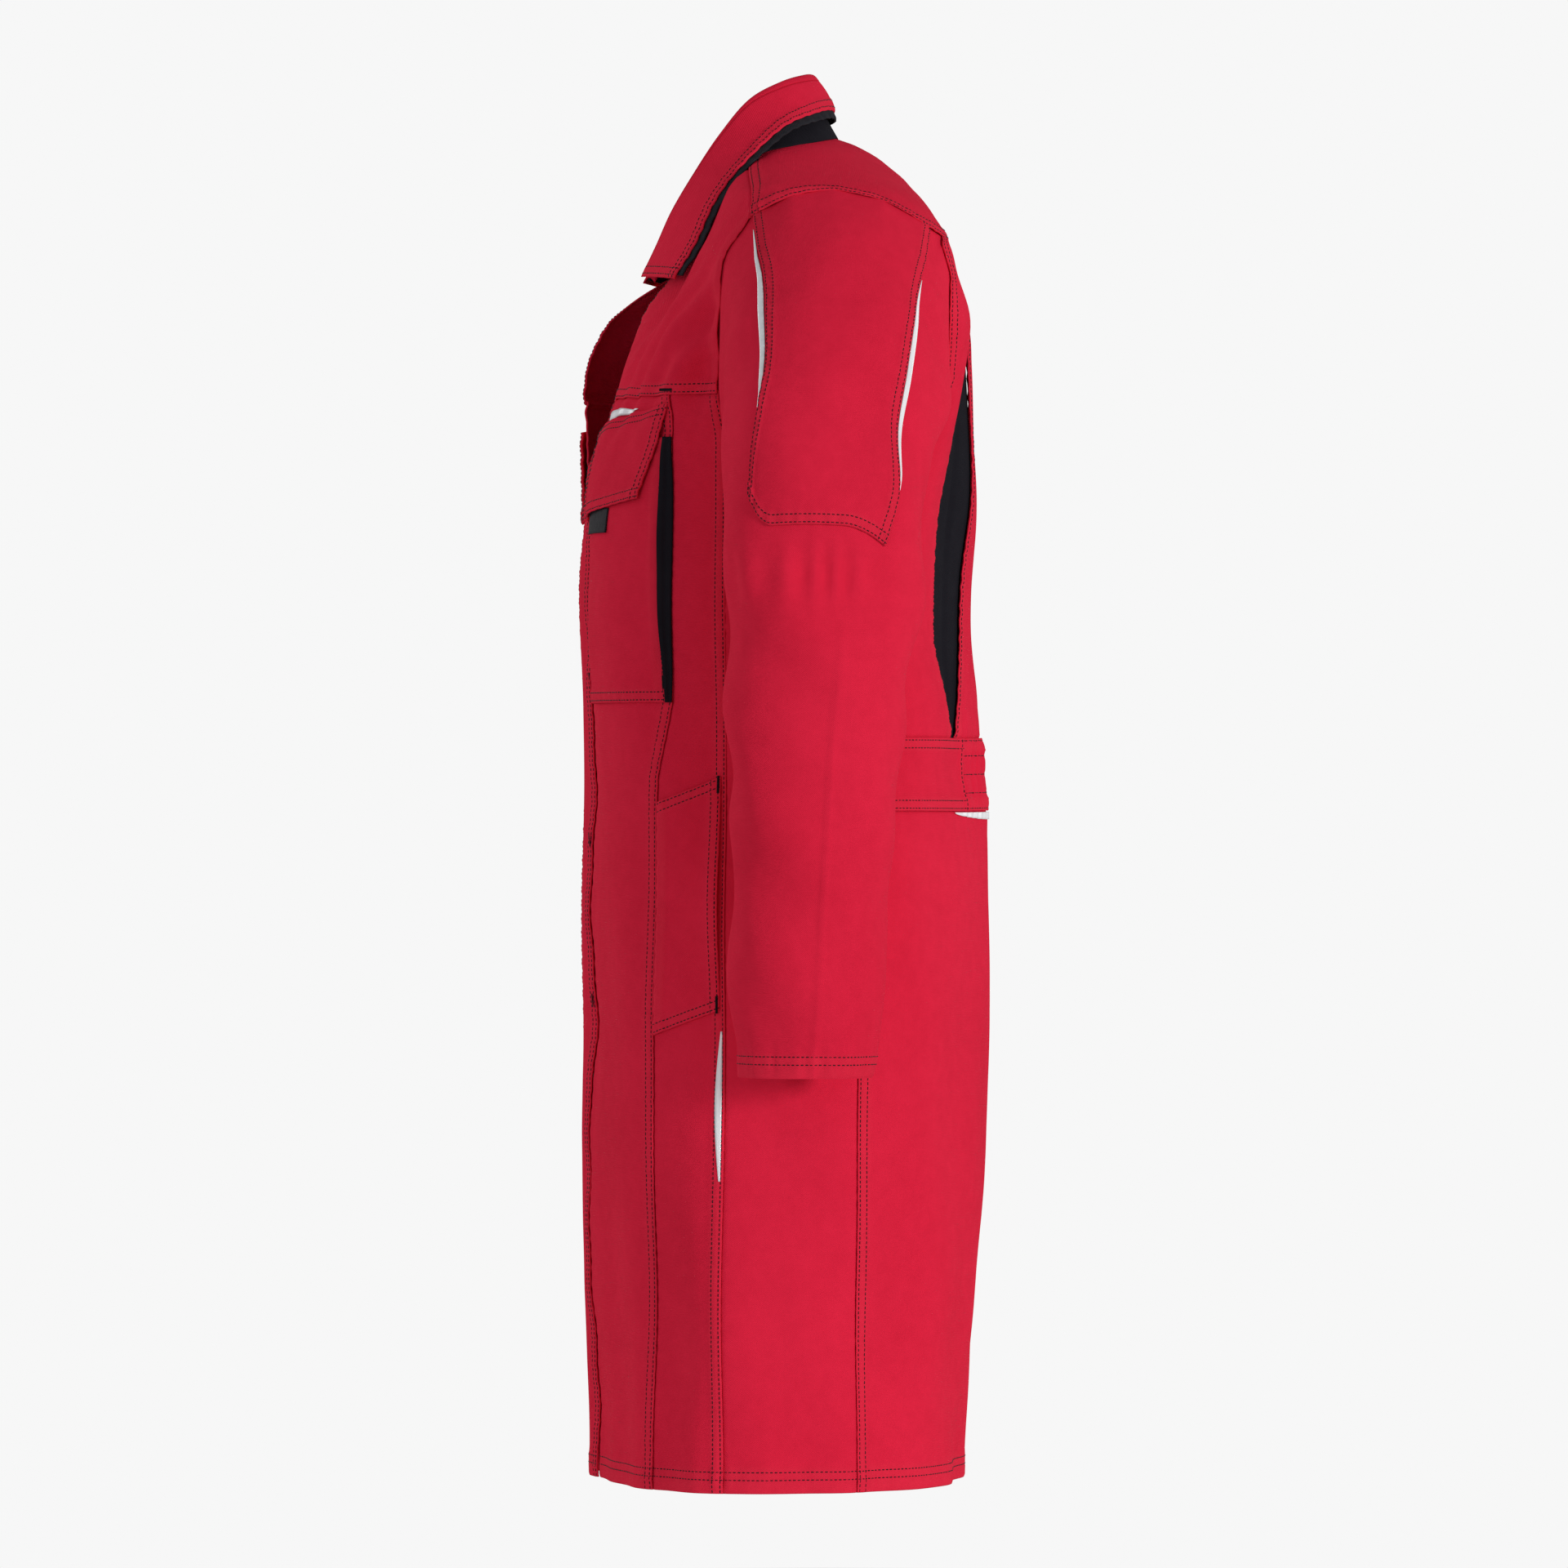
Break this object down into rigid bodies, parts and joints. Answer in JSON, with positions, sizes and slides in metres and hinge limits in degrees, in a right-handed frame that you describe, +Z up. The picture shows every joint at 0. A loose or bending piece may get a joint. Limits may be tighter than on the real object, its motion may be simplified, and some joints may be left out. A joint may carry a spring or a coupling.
{
  "type": "lab coat",
  "caption": "Long-sleeved work coat with turned down collar, concealed fly, chest and side pockets, contrast pleats and reflective inserts, standing open as if worn.",
  "frame": {"origin": "centre back of the neck seam, where the hanging loop is sewn", "axes": "+Z up, the coat's front faces -Y, the wearer's left is +X"},
  "size_m": [0.714, 0.3263, 1.0994],
  "materials": {
    "red_twill": "matte cotton blend twill with dark topstitching",
    "slate_twill": "matte twill",
    "slate_tape": "herringbone tape",
    "reflective_tape": "silver white reflective textile",
    "stud_metal": "satin press stud"
  },
  "bodies": {
    "coat_body": {"yoke": "red_twill", "back_panel": "red_twill", "back_side_left": "red_twill", "back_side_right": "red_twill", "waistband_elastic": "red_twill", "waistband_left": "red_twill", "waistband_right": "red_twill", "back_skirt": "red_twill", "side_panel_left": "red_twill", "side_panel_right": "red_twill", "front_side_left": "red_twill", "front_side_right": "red_twill", "front_centre_left": "red_twill", "front_centre_right": "red_twill", "front_upper_left": "red_twill", "front_upper_right": "red_twill", "fly_strip_left": "red_twill", "underlap_right": "red_twill", "chest_pocket_left": "red_twill", "chest_pocket_right": "red_twill", "side_pocket_left": "red_twill", "side_pocket_right": "red_twill", "collar_leaf": "red_twill", "action_pleat_left": "slate_twill", "action_pleat_right": "slate_twill", "pocket_bellows_left": "slate_twill", "pocket_bellows_right": "slate_twill", "collar_under": "slate_twill", "collar_stand": "slate_twill", "hanging_loop": "slate_tape", "waist_piping": "reflective_tape", "flap_piping_left": "reflective_tape", "flap_piping_right": "reflective_tape", "side_piping_left": "reflective_tape", "side_piping_right": "reflective_tape", "stud_socket_1": "stud_metal", "stud_socket_2": "stud_metal", "stud_ball_1": "stud_metal", "stud_ball_2": "stud_metal", "stud_ball_3": "stud_metal", "stud_ball_4": "stud_metal"},
    "left_skirt_front": {"front_skirt_left": "red_twill", "skirt_fly_strip_left": "red_twill", "stud_socket_3": "stud_metal", "stud_socket_4": "stud_metal"},
    "left_flap": {"chest_flap_left": "red_twill", "pull_tab_left": "slate_tape"},
    "right_flap": {"chest_flap_right": "red_twill", "pull_tab_right": "slate_tape"},
    "left_sleeve": {"sleeve_left": "red_twill", "sleeve_patch_left": "red_twill", "sleeve_piping_front_left": "reflective_tape", "sleeve_piping_back_left": "reflective_tape"},
    "right_sleeve": {"sleeve_right": "red_twill", "sleeve_patch_right": "red_twill", "sleeve_piping_front_right": "reflective_tape", "sleeve_piping_back_right": "reflective_tape"}
  },
  "joints": [
    {"name": "left_sleeve_swing", "type": "hinge", "parent": "coat_body", "child": "left_sleeve", "pos_m": [0.285, -0.003, -0.178], "axis": [-1, 0, 0], "range_deg": [-30, 75]},
    {"name": "right_sleeve_swing", "type": "hinge", "parent": "coat_body", "child": "right_sleeve", "pos_m": [-0.285, -0.003, -0.178], "axis": [-1, 0, 0], "range_deg": [-30, 75]},
    {"name": "left_flap_lift", "type": "hinge", "parent": "coat_body", "child": "left_flap", "pos_m": [0.111, -0.1615, -0.2248], "axis": [-0.9337, -0.3449, -0.0957], "range_deg": [0, 110]},
    {"name": "right_flap_lift", "type": "hinge", "parent": "coat_body", "child": "right_flap", "pos_m": [-0.058, -0.19, -0.2312], "axis": [-0.8984, 0.4282, 0.098], "range_deg": [0, 110]},
    {"name": "left_front_opens", "type": "hinge", "parent": "coat_body", "child": "left_skirt_front", "pos_m": [0.1915, -0.1385, -0.78], "axis": [0, 0, 1], "range_deg": [0, 70]}
  ]
}
